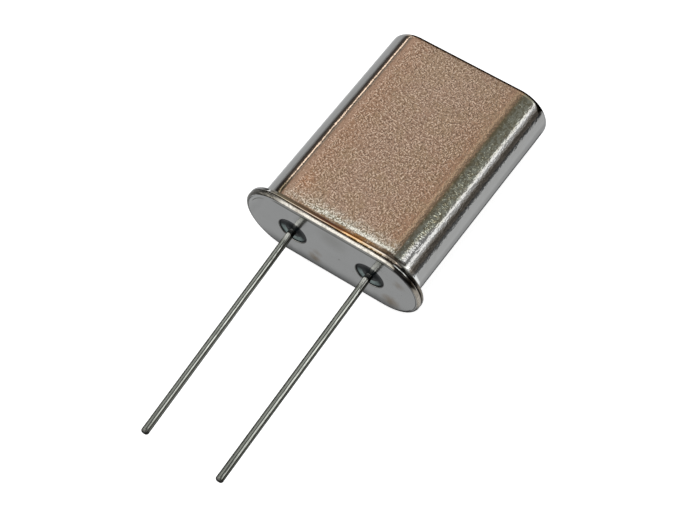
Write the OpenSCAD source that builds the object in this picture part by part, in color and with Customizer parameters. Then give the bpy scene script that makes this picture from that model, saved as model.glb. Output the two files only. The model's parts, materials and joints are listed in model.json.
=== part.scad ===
// Two-lead quartz crystal unit in a tall drawn metal can, resistance-welded to its base.
//
// The unit is drawn upright first: seating face of the base at height 0, can above it,
// leads below it. at_rest() then lays it on its back broad face, the way it comes to rest on
// a table: the closed end points to +Y, the leads to -Y, and the front broad face looks up.
// It touches the table along the rim of its flange and along the edge of the closed end.
// Origin: on the table, under the middle of the length and of the width.

/* [Can] */
// Width of the can over its two round ends
can_width = 9.95; // [9.5:0.05:12]
// Thickness of the can between its two broad faces
can_thickness = 3.55; // [3.2:0.05:4.4]
// Height of the closed end above the seating face
can_height = 13.2; // [12:0.05:15]
// Sheet thickness of the drawn wall and of the closed end
can_wall = 0.2; // [0.15:0.01:0.3]
// Outer radius round the edge of the closed end
closed_end_radius = 0.42; // [0.32:0.01:0.6]

/* [Flanges] */
// How far both flanges stand out from the can's wall, all round
flange_overhang = 0.55; // [0.45:0.01:0.7]
// Thickness of the can's own flange
can_flange_thickness = 0.23; // [0.22:0.01:0.4]
// Radius along the upper edge of the can's flange
can_flange_edge_radius = 0.1; // [0.04:0.01:0.14]
// Radius of the draw between the outside of the wall and the top of the can's flange
draw_radius = 0.3; // [0.1:0.01:0.34]
// Radius of the draw inside the mouth, between the bore and the underside of the can's flange
mouth_radius = 0.35; // [0.1:0.01:0.45]
// Radius of the two edges that face each other along the weld seam
seam_edge_radius = 0.05; // [0.03:0.01:0.06]
// Height that the weld leaves of the ridge on the base, which holds the two flanges apart
weld_ridge_height = 0.03; // [0.01:0.01:0.08]
// Width of that ridge
weld_ridge_width = 0.2; // [0.1:0.01:0.25]
// Distance of the ridge from the rim of the flanges
weld_ridge_inset = 0.14; // [0.08:0.01:0.18]

/* [Base] */
// Thickness of the base's flange, under the weld seam
base_flange_thickness = 0.24; // [0.22:0.01:0.45]
// Radius along the lower outer edge of the base, stamped round
base_edge_radius = 0.18; // [0.05:0.01:0.25]
// Height of the raised island that locates the base inside the can's mouth
island_height = 0.71; // [0.5:0.01:1.2]
// Gap between the island and the bore of the can, all round
island_clearance = 0.05; // [0.02:0.01:0.15]
// Radius along the top edge of the island
island_edge_radius = 0.12; // [0.05:0.01:0.3]

/* [Glass seals] */
// Diameter of each glass seal and of its hole through the base
seal_diameter = 1.74; // [1.2:0.02:2.2]
// Depth of the glass below the base's faces where it meets the wall of its hole
seal_recess = 0.03; // [0.02:0.01:0.1]
// Depth of the hollow that the glass surface forms between the lead and the hole
seal_dish = 0.06; // [0.02:0.01:0.12]
// Radius rolled over on the outer edge of each seal hole by the piercing punch
seal_hole_edge_radius = 0.05; // [0.02:0.01:0.12]

/* [Leads] */
// Diameter of the lead wire
lead_diameter = 0.43; // [0.3:0.01:0.6]
// Distance between the two leads at the seating face
lead_spacing = 4.9; // [4.4:0.02:5.4]
// How far the leads reach below the seating face
lead_length = 13.5; // [4:0.1:20]
// Angle by which the left lead is bent sideways, towards the right
left_lead_lean = 3.4; // [0.5:0.1:6]
// Angle by which the right lead is bent sideways, to the same side
right_lead_lean = 2.3; // [0.5:0.1:6]
// Radius of that bend, along the middle of the wire
lead_bend_radius = 3; // [1:0.1:6]
// Length of straight wire between the seating face and the start of the bend
lead_bend_drop = 0.1; // [0.05:0.01:0.5]
// Radius on the cut end of the lead
lead_end_radius = 0.1; // [0.03:0.01:0.14]
// Height of the flattened inner end of the lead above the base's island
lead_stub_height = 0.6; // [0.3:0.05:1]
// Diameter of that flattened end, which carries the clip
nail_head_diameter = 0.8; // [0.7:0.02:1.1]
// Thickness of that flattened end
nail_head_thickness = 0.15; // [0.08:0.01:0.25]

/* [Quartz blank] */
// Diameter of the quartz disc
blank_diameter = 8; // [6.8:0.1:8.6]
// Thickness of the quartz disc
blank_thickness = 0.17; // [0.1:0.01:0.4]
// Free height between the feet of the clips and the lowest point of the disc
blank_lift = 1.4; // [0.8:0.05:1.6]
// Diameter of the round part of each electrode
electrode_diameter = 5; // [3:0.1:6]
// Width of the tab that leads each electrode out to its clip
electrode_tab_width = 0.6; // [0.3:0.05:0.8]
// Thickness of each electrode, far thicker than the real film of silver
electrode_thickness = 0.02; // [0.01:0.005:0.04]
// Radius of each dot of conductive adhesive
adhesive_radius = 0.45; // [0.25:0.01:0.55]

/* [Mounting clips] */
// Thickness of the clips' strip
clip_thickness = 0.12; // [0.06:0.01:0.16]
// Width of the clips' strip
clip_width = 1.2; // [1:0.05:1.6]
// Radius inside the bend between the foot and the riser of a clip
clip_bend_radius = 0.15; // [0.05:0.01:0.3]
// How far the foot of a clip reaches past its nail head
clip_foot_margin = 0.1; // [0:0.01:0.3]
// How far the edge of the disc reaches past the inner face of a riser
clip_grip = 0.28; // [0.22:0.01:0.5]
// Gap on each side of the disc in the slot of a riser
clip_slot_clearance = 0.02; // [0.01:0.005:0.05]
// Height of the riser above the end of its slot
clip_top_margin = 0.5; // [0.2:0.05:0.8]
// Radius on the two upper corners of a riser
clip_corner_radius = 0.2; // [0.05:0.01:0.4]

/* [Hidden] */
$fn = 96;
// What a cut reaches past the face it opens
cut_margin = 0.5;

// Both flanges, the wall and the island are racetracks round the same two end centres
end_spacing = can_width - can_thickness;
wall_reach = can_thickness / 2;
bore_reach = wall_reach - can_wall;
flange_reach = wall_reach + flange_overhang;
island_reach = bore_reach - island_clearance;

// The round lower edge of the base leaves a plain strip below the edge at the seam
rim_strip = 0.01;
base_rim_radius = min(base_edge_radius, base_flange_thickness - seam_edge_radius - rim_strip);

// Heights above the seating face
seam_z = base_flange_thickness + weld_ridge_height;
can_flange_top_z = seam_z + can_flange_thickness;
island_top_z = base_flange_thickness + island_height;
nail_head_top_z = island_top_z + lead_stub_height;
clip_foot_top_z = nail_head_top_z + clip_thickness;
blank_z = clip_foot_top_z + blank_lift + blank_diameter / 2;

// The risers stand inside the rim of the disc, and their slots let that rim through
riser_x = blank_diameter / 2 - clip_grip;
slot_height = 2 * sqrt(pow(blank_diameter / 2, 2) - pow(riser_x, 2)) + 2 * clip_slot_clearance;
slot_width = blank_thickness + 2 * clip_slot_clearance;
clip_top_z = blank_z + slot_height / 2 + clip_top_margin;

// Tilt at which the rim of the can's flange and the edge of the closed end touch the table
rim_z = can_flange_top_z - can_flange_edge_radius;
end_z = can_height - closed_end_radius;
edge_radius_step = can_flange_edge_radius - closed_end_radius;
rest_rise = flange_overhang - edge_radius_step;
rest_run = end_z - rim_z;
rest_tilt = atan2(rest_rise, rest_run) + asin(edge_radius_step / norm([rest_rise, rest_run]));
rest_height = (flange_reach - can_flange_edge_radius) * cos(rest_tilt)
    + rim_z * sin(rest_tilt) + can_flange_edge_radius;

// Middle of the length as it lies, from the closed end's upper edge to the lead tips
closed_end_y = end_z * cos(rest_tilt) + (wall_reach - closed_end_radius) * sin(rest_tilt)
    + closed_end_radius;
lead_tip_y = -lead_length * cos(rest_tilt);
middle_y = (closed_end_y + lead_tip_y) / 2;

// Lays the upright unit on its back, as it comes to rest
module at_rest() {
    translate([0, -middle_y, rest_height])
        rotate([-90 - rest_tilt, 0, 0])
            children();
}

// Carries a half-section round a racetrack: a half turn at each end and straight runs between
module racetrack() {
    for (end = [0, 180])
        rotate(end)
            translate([end_spacing / 2, 0, 0])
                rotate(-90)
                    rotate_extrude(angle = 180)
                        children();
    rotate([90, 0, 90])
        linear_extrude(end_spacing, center = true) {
            children();
            mirror([1, 0])
                children();
        }
}

// What lies between a sharp corner at the origin and the arc that rounds it
module corner_web(radius) {
    difference() {
        square(radius);
        translate([radius, radius])
            circle(radius);
    }
}

// Half-section from the axis out to reach, with its two outer corners rounded
module half_section(reach, low, high, low_radius = 0, high_radius = 0) {
    difference() {
        translate([0, low])
            square([reach, high - low]);
        if (low_radius > 0)
            translate([reach, low])
                mirror([1, 0])
                    corner_web(low_radius);
        if (high_radius > 0)
            translate([reach, high])
                rotate(180)
                    corner_web(high_radius);
    }
}

// Wall, closed end and flange of the can, drawn from one sheet
module can_section() {
    difference() {
        union() {
            half_section(wall_reach, seam_z, can_height, 0, closed_end_radius);
            half_section(flange_reach, seam_z, can_flange_top_z,
                seam_edge_radius, can_flange_edge_radius);
            translate([wall_reach, can_flange_top_z])
                corner_web(draw_radius);
        }
        half_section(bore_reach, seam_z, can_height - can_wall, 0, closed_end_radius - can_wall);
        translate([bore_reach, seam_z])
            corner_web(mouth_radius);
        translate([0, seam_z - cut_margin])
            square([bore_reach + mouth_radius, cut_margin]);
    }
}

module can() {
    color([0.70, 0.57, 0.50])
        at_rest()
            racetrack()
                can_section();
}

// Flange of the base, the island that stands up inside the can, and the ridge that is welded
module base_section() {
    half_section(flange_reach, 0, base_flange_thickness, base_rim_radius, seam_edge_radius);
    half_section(island_reach, 0, island_top_z, 0, island_edge_radius);
    translate([flange_reach - weld_ridge_inset - weld_ridge_width, base_flange_thickness])
        square([weld_ridge_width, weld_ridge_height]);
}

module seal_hole() {
    rotate_extrude() {
        translate([0, -cut_margin])
            square([seal_diameter / 2, island_top_z + 2 * cut_margin]);
        translate([seal_diameter / 2, 0])
            corner_web(seal_hole_edge_radius);
        translate([0, -cut_margin])
            square([seal_diameter / 2 + seal_hole_edge_radius, cut_margin]);
    }
}

module base() {
    color([0.62, 0.61, 0.60])
        at_rest()
            difference() {
                racetrack()
                    base_section();
                for (side = [-1, 1])
                    translate([side * lead_spacing / 2, 0, 0])
                        seal_hole();
            }
}

// Ring of glass round a lead. Both its faces hang hollow between the lead and the hole.
module glass_seal(side) {
    ring_width = (seal_diameter - lead_diameter) / 2;
    dish_radius = (pow(ring_width / 2, 2) + pow(seal_dish, 2)) / (2 * seal_dish);
    middle_r = (seal_diameter + lead_diameter) / 4;
    color([0.16, 0.18, 0.21])
        at_rest()
            translate([side * lead_spacing / 2, 0, 0])
                rotate_extrude()
                    difference() {
                        translate([lead_diameter / 2, seal_recess])
                            square([ring_width, island_top_z - 2 * seal_recess]);
                        translate([middle_r, seal_recess + seal_dish - dish_radius])
                            circle(dish_radius);
                        translate([middle_r, island_top_z - seal_recess - seal_dish + dish_radius])
                            circle(dish_radius);
                    }
}

module glass_seal_left() {
    glass_seal(-1);
}

module glass_seal_right() {
    glass_seal(1);
}

// One wire: flattened head inside the can, straight through the glass, then bent sideways
module lead(side, lean) {
    bend_end_x = lead_bend_radius * (1 - cos(lean));
    bend_end_z = -lead_bend_drop - lead_bend_radius * sin(lean);
    free_length = (lead_length + bend_end_z) / cos(lean);
    color([0.74, 0.73, 0.70])
        at_rest()
            translate([side * lead_spacing / 2, 0, 0]) {
                translate([0, 0, nail_head_top_z - nail_head_thickness])
                    cylinder(d = nail_head_diameter, h = nail_head_thickness);
                translate([0, 0, -lead_bend_drop])
                    cylinder(d = lead_diameter, h = nail_head_top_z + lead_bend_drop);
                translate([lead_bend_radius, 0, -lead_bend_drop])
                    rotate([90, 0, 0])
                        rotate(180)
                            rotate_extrude(angle = lean)
                                translate([lead_bend_radius, 0])
                                    circle(d = lead_diameter);
                translate([bend_end_x, 0, bend_end_z])
                    rotate([0, -lean, 0])
                        rotate_extrude()
                            half_section(lead_diameter / 2, -free_length, 0, lead_end_radius);
            }
}

module lead_left() {
    lead(-1, left_lead_lean);
}

module lead_right() {
    lead(1, right_lead_lean);
}

// Side view of a clip's strip: foot on the nail head, bend, riser beside the disc
module clip_strip() {
    foot_start_x = (lead_spacing - nail_head_diameter) / 2 - clip_foot_margin;
    bend_x = riser_x - clip_bend_radius;
    bend_z = clip_foot_top_z + clip_bend_radius;
    translate([foot_start_x, nail_head_top_z])
        square([bend_x - foot_start_x, clip_thickness]);
    intersection() {
        translate([bend_x, bend_z])
            difference() {
                circle(clip_bend_radius + clip_thickness);
                circle(clip_bend_radius);
            }
        translate([bend_x, nail_head_top_z])
            square(clip_bend_radius + clip_thickness);
    }
    translate([riser_x, bend_z])
        square([clip_thickness, clip_top_z - bend_z]);
}

// The same strip seen from the end of the can, with rounded top and the slot for the disc
module clip_outline() {
    difference() {
        union() {
            half_section(clip_width / 2, nail_head_top_z, clip_top_z, 0, clip_corner_radius);
            mirror([1, 0])
                half_section(clip_width / 2, nail_head_top_z, clip_top_z, 0, clip_corner_radius);
        }
        translate([0, blank_z])
            square([slot_width, slot_height], center = true);
    }
}

module mounting_clip() {
    color([0.80, 0.79, 0.74])
        intersection() {
            rotate([90, 0, 0])
                linear_extrude(clip_width, center = true)
                    clip_strip();
            rotate([90, 0, 90])
                linear_extrude(riser_x + cut_margin)
                    clip_outline();
        }
}

module mounting_clip_left() {
    at_rest()
        mirror([1, 0, 0])
            mounting_clip();
}

module mounting_clip_right() {
    at_rest()
        mounting_clip();
}

module quartz_blank() {
    color([0.85, 0.88, 0.90, 0.6])
        at_rest()
            translate([0, 0, blank_z])
                rotate([90, 0, 0])
                    cylinder(d = blank_diameter, h = blank_thickness, center = true);
}

// Film on the front of the disc: a round spot with a tab out to the right clip
module electrode() {
    translate([0, -blank_thickness / 2, blank_z])
        rotate([90, 0, 0])
            linear_extrude(electrode_thickness) {
                circle(d = electrode_diameter);
                translate([0, -electrode_tab_width / 2])
                    square([riser_x, electrode_tab_width]);
            }
}

module front_electrode() {
    color([0.84, 0.84, 0.84])
        at_rest()
            electrode();
}

// The back film is the front one turned half round, so its tab ends at the left clip
module back_electrode() {
    color([0.84, 0.84, 0.84])
        at_rest()
            rotate(180)
                electrode();
}

// Dot in the corner between the right riser and the front of the disc, over the tab
module adhesive_dot() {
    difference() {
        translate([riser_x, -blank_thickness / 2, blank_z])
            intersection() {
                sphere(adhesive_radius);
                translate([-adhesive_radius, -adhesive_radius, -adhesive_radius])
                    cube([adhesive_radius, adhesive_radius, 2 * adhesive_radius]);
            }
        electrode();
    }
}

module adhesive_left() {
    color([0.55, 0.55, 0.56])
        at_rest()
            rotate(180)
                adhesive_dot();
}

module adhesive_right() {
    color([0.55, 0.55, 0.56])
        at_rest()
            adhesive_dot();
}

can();
base();
glass_seal_left();
glass_seal_right();
lead_left();
lead_right();
mounting_clip_left();
mounting_clip_right();
quartz_blank();
front_electrode();
back_electrode();
adhesive_left();
adhesive_right();
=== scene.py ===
"""Two-lead quartz crystal unit in a welded metal can: its looks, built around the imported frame.

Lengths are in millimetres in the unit's own upright frame (x across the width, z up from the
seating face, front broad face at -y) and are laid down into the row frame, in metres, by LAY.
"""
import json
import math

import bmesh
import bpy
import numpy as np
from mathutils import Matrix, Vector, noise
from mathutils.geometry import delaunay_2d_cdt


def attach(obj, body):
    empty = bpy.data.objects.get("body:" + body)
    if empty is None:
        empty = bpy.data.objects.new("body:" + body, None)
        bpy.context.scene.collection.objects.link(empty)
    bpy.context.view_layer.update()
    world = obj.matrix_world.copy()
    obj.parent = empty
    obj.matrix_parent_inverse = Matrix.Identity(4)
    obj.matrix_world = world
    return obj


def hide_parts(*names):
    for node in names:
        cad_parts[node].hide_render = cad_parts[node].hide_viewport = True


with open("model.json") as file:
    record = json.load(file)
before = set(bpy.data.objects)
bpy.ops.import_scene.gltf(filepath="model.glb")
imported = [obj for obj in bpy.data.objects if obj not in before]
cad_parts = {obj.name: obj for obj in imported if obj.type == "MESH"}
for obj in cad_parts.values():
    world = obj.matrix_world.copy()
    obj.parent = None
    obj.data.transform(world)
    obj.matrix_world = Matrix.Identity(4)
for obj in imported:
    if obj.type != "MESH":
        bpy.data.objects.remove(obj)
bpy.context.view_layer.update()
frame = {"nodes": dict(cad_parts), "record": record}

MM = 0.001
SIDES = (("left", -1), ("right", 1))

# The same sizes as the CAD solids
HALF_SPACING = 3.2
WALL, BORE, FLANGE, ISLAND = 1.775, 1.575, 2.325, 1.525
CAN_TOP, CAN_SHEET = 13.2, 0.2
END_RADIUS = 0.42
SEAM_Z, CAN_FLANGE_TOP = 0.27, 0.50
CAN_EDGE_RADIUS, DRAW_RADIUS, MOUTH_RADIUS = 0.1, 0.3, 0.35
SEAM_EDGE_RADIUS = 0.05
BASE_FLANGE_TOP, BASE_EDGE_RADIUS = 0.24, 0.18
ISLAND_TOP, ISLAND_EDGE_RADIUS = 0.95, 0.12
RIDGE_OUT, RIDGE_IN = 2.185, 1.985
SEAL_R, SEAL_EDGE, SEAL_RECESS, SEAL_DISH = 0.87, 0.05, 0.03, 0.06
LEAD_R, LEAD_X = 0.215, 2.45
LEAD_LENGTH, LEAD_BEND, LEAD_DROP = 13.5, 3.0, 0.1
LEAD_LEANS = {"left": 3.4, "right": 2.3}
HEAD_R, HEAD_TOP, HEAD_THICK = 0.4, 1.55, 0.15

# Narrow strips that keep the shading of the closed end and the seating face flat
FLAT_MARGIN, FACE_MARGIN = 0.015, 0.02
# Small edges of a lead: its head, and its cut end as (back from the end, radius)
HEAD_EDGE, HEAD_FILLET = 0.03, 0.02
TIP_START = 0.1
WIRE_TIP = ((0.07, 0.197), (0.035, 0.178), (0.01, 0.14), (0.0, 0.10))
# Unevenness too fine for the CAD, as (size, length, seed), and as (size, length) for a wire
CAN_RIM_WAVES = ((0.010, 0.9, 3.0), (0.005, 0.22, 8.0))
CAN_WALL_WAVES = ((0.004, 2.4, 5.0), (0.0016, 0.8, 9.0))
BASE_RIM_WAVES = ((0.006, 1.1, 12.0), (0.003, 0.3, 14.0))
WIRE_SWAY, WIRE_LIFT, WIRE_GIRTH = (0.012, 3.1), (0.010, 2.7), (0.012, 0.35)

# How finely the meshes are stepped, and where their shading breaks, in degrees
TRACK_STEPS = 56  # round each end, and again along each broad side
HOLE_STEPS = 64
WIRE_SIDES = 28
BEND_STEPS, RUN_STEPS = 6, 90
SHARP_ANGLE, WIRE_SHARP_ANGLE = 38, 50
MERGE_DISTANCE, DEGENERATE_LENGTH = 1e-5, 1e-6

seat = next(m for m in frame["record"]["mounts"] if m["name"] == "seating_face")
REST_TILT = math.asin(seat["axis"][2])
LAY = (
    Matrix.Translation(Vector(seat["pos_m"]))
    @ Matrix.Rotation(-math.pi / 2 - REST_TILT, 4, "X")
    @ Matrix.Scale(MM, 4)
)


# ---------------------------------------------------------------- mesh helpers
def arc(cx, cz, radius, start, end, steps):
    """Points of an arc in the section plane, both ends included, angles in degrees."""
    angles = np.radians(np.linspace(start, end, steps + 1))
    return [(cx + radius * math.cos(a), cz + radius * math.sin(a)) for a in angles]


def run(start, end, steps):
    """Points between two section points, both ends left out."""
    return [
        (start[0] + (end[0] - start[0]) * i / steps, start[1] + (end[1] - start[1]) * i / steps)
        for i in range(1, steps)
    ]


def track_stations():
    """(centre x, outward direction) round the racetrack, once round."""
    stations = []
    for side in (1, -1):
        for i in range(TRACK_STEPS):
            a = math.radians(-90 * side + 180 * i / TRACK_STEPS)
            stations.append((side * HALF_SPACING, math.cos(a), math.sin(a)))
        for i in range(TRACK_STEPS):
            x = side * HALF_SPACING * (1 - 2 * i / TRACK_STEPS)
            stations.append((x, 0.0, float(side)))
    return stations


def waves(x, y, z, layers):
    """Sum of smooth noises at a point, one for each (size, length, seed)."""
    total = 0.0
    for size, length, seed in layers:
        place = Vector((x / length + seed, y / length - seed, z / length + 2.7 * seed))
        total += size * noise.noise(place)
    return total


def loop_quads(rows, count, first=0, closed=False):
    """Quads between rows of count vertices, the last row joined to the first.

    closed also joins the last vertex of each row to its first.
    """
    quads = []
    for i in range(rows):
        here, there = first + i * count, first + (i + 1) % rows * count
        for k in range(count if closed else count - 1):
            after = (k + 1) % count
            quads.append((here + k, here + after, there + after, there + k))
    return quads


def turned(section, cx):
    """Vertices of an (r, z) section turned round the vertical through (cx, 0), row by row."""
    verts = []
    for i in range(HOLE_STEPS):
        a = 2 * math.pi * i / HOLE_STEPS
        verts += [(cx + r * math.cos(a), r * math.sin(a), z) for r, z in section]
    return verts


def build(name, verts, faces, sharp_angle=SHARP_ANGLE):
    """A clean mesh object laid down into the row frame."""
    mesh = bpy.data.meshes.new(name)
    mesh.from_pydata([tuple(v) for v in verts], [], faces)
    bm = bmesh.new()
    bm.from_mesh(mesh)
    bmesh.ops.remove_doubles(bm, verts=bm.verts, dist=MERGE_DISTANCE)
    bmesh.ops.dissolve_degenerate(bm, edges=bm.edges, dist=DEGENERATE_LENGTH)
    bmesh.ops.recalc_face_normals(bm, faces=bm.faces)
    bm.to_mesh(mesh)
    bm.free()
    mesh.transform(LAY)
    mesh.update()
    mesh.shade_smooth()
    mesh.set_sharp_from_angle(angle=math.radians(sharp_angle))
    obj = bpy.data.objects.new(name, mesh)
    bpy.context.scene.collection.objects.link(obj)
    return obj


def sweep(profile, stations, shift):
    """Verts and quads of a section carried round the racetrack; shift moves single points."""
    verts = []
    for cx, dx, dy in stations:
        for reach, z in profile:
            reach, z = shift(cx, dx, dy, reach, z)
            verts.append((cx + reach * dx, reach * dy, z))
    return verts, loop_quads(len(stations), len(profile))


# ---------------------------------------------------------------- the can
def can_shell():
    outer = [(0, CAN_TOP)] + run((0, CAN_TOP), (WALL - END_RADIUS, CAN_TOP), 5)
    outer.append((WALL - END_RADIUS - FLAT_MARGIN, CAN_TOP))
    outer += arc(WALL - END_RADIUS, CAN_TOP - END_RADIUS, END_RADIUS, 90, 0, 14)
    wall_top, wall_low = (WALL, CAN_TOP - END_RADIUS), (WALL, CAN_FLANGE_TOP + DRAW_RADIUS)
    outer += run(wall_top, wall_low, 60)
    outer += arc(WALL + DRAW_RADIUS, CAN_FLANGE_TOP + DRAW_RADIUS, DRAW_RADIUS, 180, 270, 12)
    outer += run(
        (WALL + DRAW_RADIUS, CAN_FLANGE_TOP), (FLANGE - CAN_EDGE_RADIUS, CAN_FLANGE_TOP), 3
    )
    outer += arc(
        FLANGE - CAN_EDGE_RADIUS, CAN_FLANGE_TOP - CAN_EDGE_RADIUS, CAN_EDGE_RADIUS, 90, 0, 7
    )
    outer += run((FLANGE, CAN_FLANGE_TOP - CAN_EDGE_RADIUS), (FLANGE, SEAM_Z + SEAM_EDGE_RADIUS), 3)
    outer += arc(FLANGE - SEAM_EDGE_RADIUS, SEAM_Z + SEAM_EDGE_RADIUS, SEAM_EDGE_RADIUS, 0, -90, 4)
    mouth = BORE + MOUTH_RADIUS
    inner = run((FLANGE - SEAM_EDGE_RADIUS, SEAM_Z), (mouth, SEAM_Z), 3)
    inner += arc(mouth, SEAM_Z + MOUTH_RADIUS, MOUTH_RADIUS, 270, 180, 8)
    inner_radius = END_RADIUS - CAN_SHEET
    inner += run((BORE, SEAM_Z + MOUTH_RADIUS), (BORE, CAN_TOP - END_RADIUS), 12)
    inner += arc(BORE - inner_radius, CAN_TOP - END_RADIUS, inner_radius, 0, 90, 6)
    inner += run((BORE - inner_radius, CAN_TOP - CAN_SHEET), (0, CAN_TOP - CAN_SHEET), 3)
    inner.append((0, CAN_TOP - CAN_SHEET))

    def shift(cx, dx, dy, reach, z):
        x, y = cx + reach * dx, reach * dy
        on_rim = reach > WALL + 0.26 and z < CAN_FLANGE_TOP + 0.01
        on_wall = reach > BORE + 0.1 and z > SEAM_Z + 0.2
        # the trimmed and welded rim is slightly uneven, and the drawn wall is not quite flat
        if on_rim:
            reach += waves(x, y, z, CAN_RIM_WAVES)
        elif on_wall:
            reach += waves(x, y, z, CAN_WALL_WAVES)
        return reach, z

    verts, faces = sweep(outer + inner, track_stations(), shift)
    return build("can_shell", verts, faces)


can = can_shell()
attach(can, "root")
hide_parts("can")


# ---------------------------------------------------------------- the base
def ring(reach, stations):
    return [(cx + reach * dx, reach * dy) for cx, dx, dy in stations]


def fill_flat(outline, holes, z):
    """Verts and triangles of a flat face with round holes, on its own vertices."""
    circles = [[v[:2] for v in turned([(radius, z)], centre.x)] for centre, radius in holes]
    points, edges = [], []
    for loop in [outline] + circles:
        first = len(points)
        points += [Vector(p) for p in loop]
        edges += [(first + i, first + (i + 1) % len(loop)) for i in range(len(loop))]
    found, _, tris = delaunay_2d_cdt(points, edges, [], 1, 1e-6)[:3]
    kept = []
    for t in tris:
        middle = (found[t[0]] + found[t[1]] + found[t[2]]) / 3
        # a triangle outside a hole's polygon never has its middle this far inside the circle
        if all((middle - centre).length > radius * 0.99 for centre, radius in holes):
            kept.append(tuple(t))
    return [(p.x, p.y, z) for p in found], kept


def base_plate():
    stations = track_stations()
    flat_reach = FLANGE - BASE_EDGE_RADIUS - FACE_MARGIN
    profile = [(flat_reach, 0)]
    profile += arc(FLANGE - BASE_EDGE_RADIUS, BASE_EDGE_RADIUS, BASE_EDGE_RADIUS, -90, 0, 12)
    profile += arc(
        FLANGE - SEAM_EDGE_RADIUS, BASE_FLANGE_TOP - SEAM_EDGE_RADIUS, SEAM_EDGE_RADIUS, 0, 90, 5
    )
    profile += [(RIDGE_OUT, BASE_FLANGE_TOP), (RIDGE_OUT, SEAM_Z), (RIDGE_IN, SEAM_Z)]
    profile += [(RIDGE_IN, BASE_FLANGE_TOP), (ISLAND, BASE_FLANGE_TOP)]
    profile += run((ISLAND, BASE_FLANGE_TOP), (ISLAND, ISLAND_TOP - ISLAND_EDGE_RADIUS), 3)
    profile += arc(
        ISLAND - ISLAND_EDGE_RADIUS, ISLAND_TOP - ISLAND_EDGE_RADIUS, ISLAND_EDGE_RADIUS, 0, 90, 5
    )
    top_reach = ISLAND - ISLAND_EDGE_RADIUS

    def shift(cx, dx, dy, reach, z):
        on_rim = reach > FLANGE - 0.12
        if on_rim:
            reach += waves(cx + reach * dx, reach * dy, z, BASE_RIM_WAVES)
        return reach, z

    verts, faces = sweep(profile, stations, shift)
    for z, reach, hole_r in ((0, flat_reach, SEAL_R + SEAL_EDGE), (ISLAND_TOP, top_reach, SEAL_R)):
        holes = [(Vector((side * LEAD_X, 0)), hole_r) for side in (-1, 1)]
        more, tris = fill_flat(ring(reach, stations), holes, z)
        faces += [tuple(i + len(verts) for i in t) for t in tris]
        verts += more
    hole = arc(SEAL_R + SEAL_EDGE, SEAL_EDGE, SEAL_EDGE, -90, -180, 6)
    hole += run((SEAL_R, SEAL_EDGE), (SEAL_R, ISLAND_TOP), 6) + [(SEAL_R, ISLAND_TOP)]
    for side in (-1, 1):
        faces += loop_quads(HOLE_STEPS, len(hole), first=len(verts))
        verts += turned(hole, side * LEAD_X)
    return build("base_stamping", verts, faces)


base = base_plate()
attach(base, "root")
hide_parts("base")


# ---------------------------------------------------------------- glass seals
def meniscus(low):
    """Glass surface between lead and hole, hung from both, as (r, z).

    The low one runs from the lead outwards, the other one from the hole inwards.
    """
    width, middle = SEAL_R - LEAD_R, (SEAL_R + LEAD_R) / 2
    radius = ((width / 2) ** 2 + SEAL_DISH**2) / (2 * SEAL_DISH)
    half = math.degrees(math.asin(width / 2 / radius))
    if low:
        return arc(middle, SEAL_RECESS + SEAL_DISH - radius, radius, 90 + half, 90 - half, 12)
    centre_z = ISLAND_TOP - SEAL_RECESS - SEAL_DISH + radius
    return arc(middle, centre_z, radius, 270 + half, 270 - half, 12)


seal_section = meniscus(True) + meniscus(False)
seal_faces = loop_quads(HOLE_STEPS, len(seal_section), closed=True)
seals = []
for side_name, side in SIDES:
    seal = build("seal_glass_" + side_name, turned(seal_section, side * LEAD_X), seal_faces)
    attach(seal, "root")
    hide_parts("glass_seal_" + side_name)
    seals.append(seal)


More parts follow.
